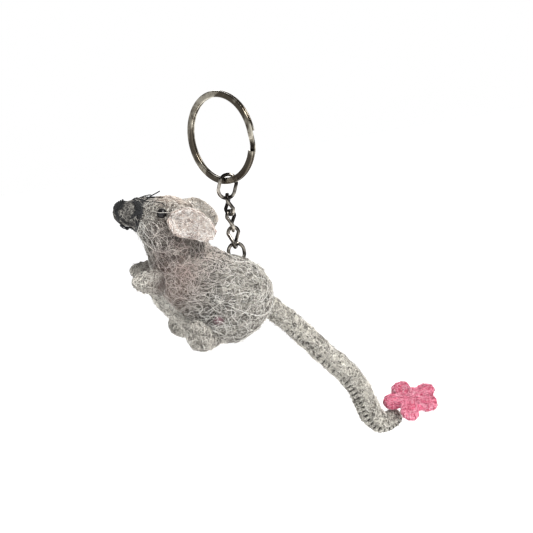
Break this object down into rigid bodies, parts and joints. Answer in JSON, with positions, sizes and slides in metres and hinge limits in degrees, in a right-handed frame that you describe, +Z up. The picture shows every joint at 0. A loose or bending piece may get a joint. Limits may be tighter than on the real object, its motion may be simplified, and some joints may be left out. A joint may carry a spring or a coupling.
{
  "type": "felt mouse keyring",
  "caption": "Key ring with a short curb chain that carries a hand-stitched grey felt mouse, its long felt tail ending in a pink felt flower.",
  "frame": {"origin": "hang point: the inner top of the split ring, where it rests on a hook or finger", "axes": "+Z up along the hanging chain; the mouse faces -X and its left side faces -Y; the mouse's mid-plane is Y = 0"},
  "size_m": [0.0967, 0.0268, 0.1208],
  "materials": {
    "ring_nickel": "bright nickel plate on flat spring wire",
    "chain_nickel": "darker nickel plate on round wire",
    "grey_felt": "wool felt, mixed grey fibres, hairy surface",
    "pale_felt": "off-white wool felt",
    "cream_felt": "cream wool felt with a pink cast",
    "pink_felt": "pink wool felt",
    "stuffing": "loose white fibre",
    "grey_thread": "grey sewing thread",
    "black_thread": "black embroidery thread",
    "rose_thread": "dark rose sewing thread",
    "black_bead": "glossy round bead"
  },
  "bodies": {
    "ring": {"split_ring": "ring_nickel"},
    "connector": {"connector_ring": "chain_nickel"},
    "link_1": {"chain_link_1": "chain_nickel"},
    "link_2": {"chain_link_2": "chain_nickel"},
    "link_3": {"chain_link_3": "chain_nickel"},
    "end_link": {"end_link": "chain_nickel"},
    "mouse": {"left_side_panel": "grey_felt", "right_side_panel": "grey_felt", "belly_gusset": "pale_felt", "body_stuffing": "stuffing", "back_seam_stitches": "grey_thread", "belly_seam_stitches": "grey_thread", "anchor_thread": "grey_thread", "left_ear_back": "grey_felt", "left_ear_lining": "cream_felt", "right_ear_back": "grey_felt", "right_ear_lining": "cream_felt", "left_eye": "black_bead", "right_eye": "black_bead", "nose_stitches": "black_thread", "mouth_thread": "black_thread", "snout_wrap": "black_thread", "whisker_threads": "black_thread", "left_arm": "grey_felt", "right_arm": "grey_felt", "left_leg": "grey_felt", "right_leg": "grey_felt", "paw_stitches": "grey_thread"},
    "tail": {"tail_felt": "grey_felt", "tail_core": "stuffing", "tail_seam_stitches": "grey_thread", "flower_front": "pink_felt", "flower_back": "pink_felt", "flower_stitches": "rose_thread"}
  },
  "joints": [
    {"name": "connector_swing", "type": "hinge", "parent": "ring", "child": "connector", "pos_m": [0, 0, -0.02663], "axis": [0.5592, -0.829, 0], "range_deg": [-45, 45]},
    {"name": "link_1_swing", "type": "hinge", "parent": "connector", "child": "link_1", "pos_m": [-0.00093, 0.00007, -0.03232], "axis": [-0.9976, 0.0698, 0], "range_deg": [-50, 50]},
    {"name": "link_2_swing", "type": "hinge", "parent": "link_1", "child": "link_2", "pos_m": [-0.00093, 0.00007, -0.03766], "axis": [0.4848, -0.8746, 0], "range_deg": [-50, 50]},
    {"name": "link_3_swing", "type": "hinge", "parent": "link_2", "child": "link_3", "pos_m": [-0.00093, 0.00007, -0.043], "axis": [0.0523, 0.9986, 0], "range_deg": [-50, 35]},
    {"name": "end_link_swing", "type": "hinge", "parent": "link_3", "child": "end_link", "pos_m": [-0.00093, 0.00007, -0.04834], "axis": [-0.4067, -0.9135, 0], "range_deg": [-20, 45]},
    {"name": "mouse_roll", "type": "hinge", "parent": "end_link", "child": "mouse", "pos_m": [-0.00093, 0.00007, -0.05298], "axis": [0.9976, -0.0698, 0], "range_deg": [-20, 20]},
    {"name": "tail_bend", "type": "hinge", "parent": "mouse", "child": "tail", "pos_m": [0.0065, 0, -0.0687], "axis": [0, 1, 0], "range_deg": [-25, 25], "stiffness_Nm_per_rad": 0.01}
  ]
}
